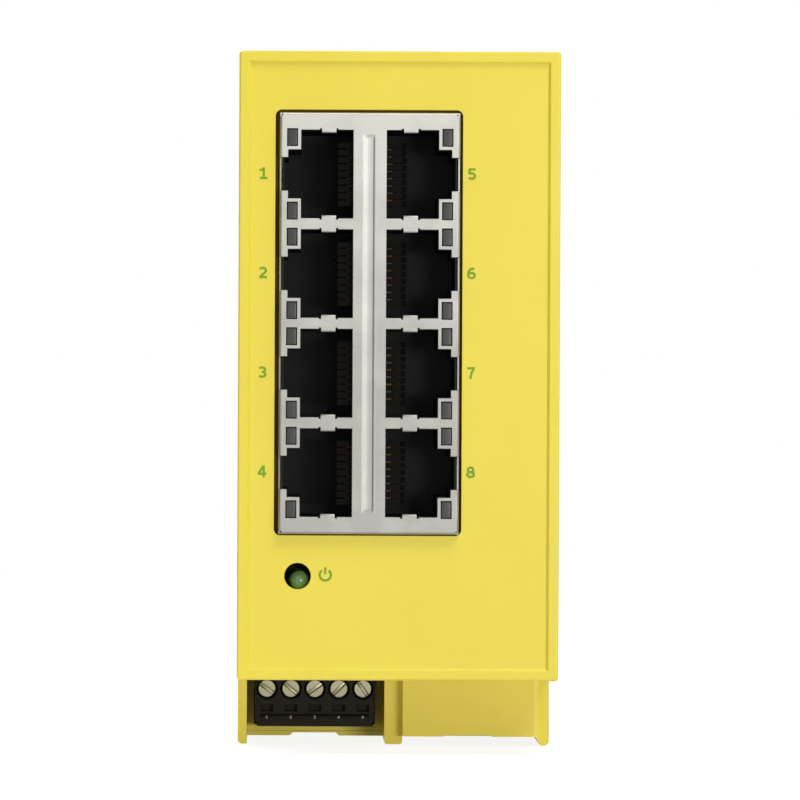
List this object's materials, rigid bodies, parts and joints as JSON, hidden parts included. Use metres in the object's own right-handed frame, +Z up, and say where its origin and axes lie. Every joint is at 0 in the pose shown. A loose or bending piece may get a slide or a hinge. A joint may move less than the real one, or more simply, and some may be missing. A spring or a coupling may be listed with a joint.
{
  "type": "din rail ethernet switch",
  "caption": "Upright plastic rail-mount network switch with a shielded multi-port jack block on its front, a status light and a pluggable screw terminal below.",
  "frame": {"origin": "middle of the face that rests on the rail, halfway across the case and level with the rail's middle", "axes": "+X to the right seen from the front, +Y back towards the rail, +Z up"},
  "size_m": [0.0452, 0.1151, 0.099],
  "materials": {
    "case_yellow": "fine moulded",
    "latch_black": "moulded",
    "spring_steel": "bright",
    "shield_tin": "satin tin plate",
    "insert_black": "moulded",
    "contact_gold": "gold plate",
    "lens_grey": "smoked clear",
    "board_green": "solder mask",
    "chip_black": "moulded",
    "can_steel": "plated",
    "can_aluminium": "drawn",
    "coil_grey": "ferrite",
    "light_green": "tinted clear",
    "plug_black": "moulded",
    "screw_steel": "plated",
    "clamp_tin": "tin plate"
  },
  "bodies": {
    "case": {"left_shell": "case_yellow", "right_shell": "case_yellow", "front_cover": "case_yellow", "latch_spring": "spring_steel", "jack_shield": "shield_tin", "jack_body": "insert_black", "led_lenses": "lens_grey", "jack_contacts": "contact_gold", "main_board": "board_green", "switch_chip": "chip_black", "oscillator": "can_steel", "power_board": "board_green", "board_link": "chip_black", "inductor": "coil_grey", "capacitors": "can_aluminium", "regulator": "chip_black", "power_led": "light_green", "led_stand": "insert_black", "terminal_header": "plug_black", "header_pins": "clamp_tin"},
    "latch": {"din_latch": "latch_black"},
    "plug": {"plug_body": "plug_black", "plug_contacts": "clamp_tin"},
    "screw_1": {"clamp_screw_1": "screw_steel"},
    "cage_1": {"clamp_cage_1": "clamp_tin"},
    "screw_2": {"clamp_screw_2": "screw_steel"},
    "cage_2": {"clamp_cage_2": "clamp_tin"},
    "screw_3": {"clamp_screw_3": "screw_steel"},
    "cage_3": {"clamp_cage_3": "clamp_tin"},
    "screw_4": {"clamp_screw_4": "screw_steel"},
    "cage_4": {"clamp_cage_4": "clamp_tin"},
    "screw_5": {"clamp_screw_5": "screw_steel"},
    "cage_5": {"clamp_cage_5": "clamp_tin"}
  },
  "joints": [
    {"name": "latch_slide", "type": "slide", "parent": "case", "child": "latch", "axis": [0, 0, -1], "range_m": [0, 0.004], "stiffness_N_per_m": 1500, "springref_m": -0.003, "deforming": ["latch_spring"]},
    {"name": "plug_slide", "type": "slide", "parent": "case", "child": "plug", "axis": [0, -1, 0], "range_m": [0, 0.048]},
    {"name": "cage_draw_1", "type": "slide", "parent": "plug", "child": "cage_1", "axis": [0, -1, 0], "range_m": [0, 0.0016]},
    {"name": "screw_turn_1", "type": "hinge", "parent": "plug", "child": "screw_1", "pos_m": [-0.0184, -0.0803, -0.0417], "axis": [0, 1, 0], "range_deg": [0, 1440]},
    {"name": "cage_draw_2", "type": "slide", "parent": "plug", "child": "cage_2", "axis": [0, -1, 0], "range_m": [0, 0.0016]},
    {"name": "screw_turn_2", "type": "hinge", "parent": "plug", "child": "screw_2", "pos_m": [-0.0149, -0.0803, -0.0417], "axis": [0, 1, 0], "range_deg": [0, 1440]},
    {"name": "cage_draw_3", "type": "slide", "parent": "plug", "child": "cage_3", "axis": [0, -1, 0], "range_m": [0, 0.0016]},
    {"name": "screw_turn_3", "type": "hinge", "parent": "plug", "child": "screw_3", "pos_m": [-0.0114, -0.0803, -0.0417], "axis": [0, 1, 0], "range_deg": [0, 1440]},
    {"name": "cage_draw_4", "type": "slide", "parent": "plug", "child": "cage_4", "axis": [0, -1, 0], "range_m": [0, 0.0016]},
    {"name": "screw_turn_4", "type": "hinge", "parent": "plug", "child": "screw_4", "pos_m": [-0.0079, -0.0803, -0.0417], "axis": [0, 1, 0], "range_deg": [0, 1440]},
    {"name": "cage_draw_5", "type": "slide", "parent": "plug", "child": "cage_5", "axis": [0, -1, 0], "range_m": [0, 0.0016]},
    {"name": "screw_turn_5", "type": "hinge", "parent": "plug", "child": "screw_5", "pos_m": [-0.0044, -0.0803, -0.0417], "axis": [0, 1, 0], "range_deg": [0, 1440]}
  ],
  "couplings": [
    {"joint": "screw_turn_1", "follows": "cage_draw_1", "rad_per_m": 15700},
    {"joint": "screw_turn_2", "follows": "cage_draw_2", "rad_per_m": 15700},
    {"joint": "screw_turn_3", "follows": "cage_draw_3", "rad_per_m": 15700},
    {"joint": "screw_turn_4", "follows": "cage_draw_4", "rad_per_m": 15700},
    {"joint": "screw_turn_5", "follows": "cage_draw_5", "rad_per_m": 15700}
  ]
}
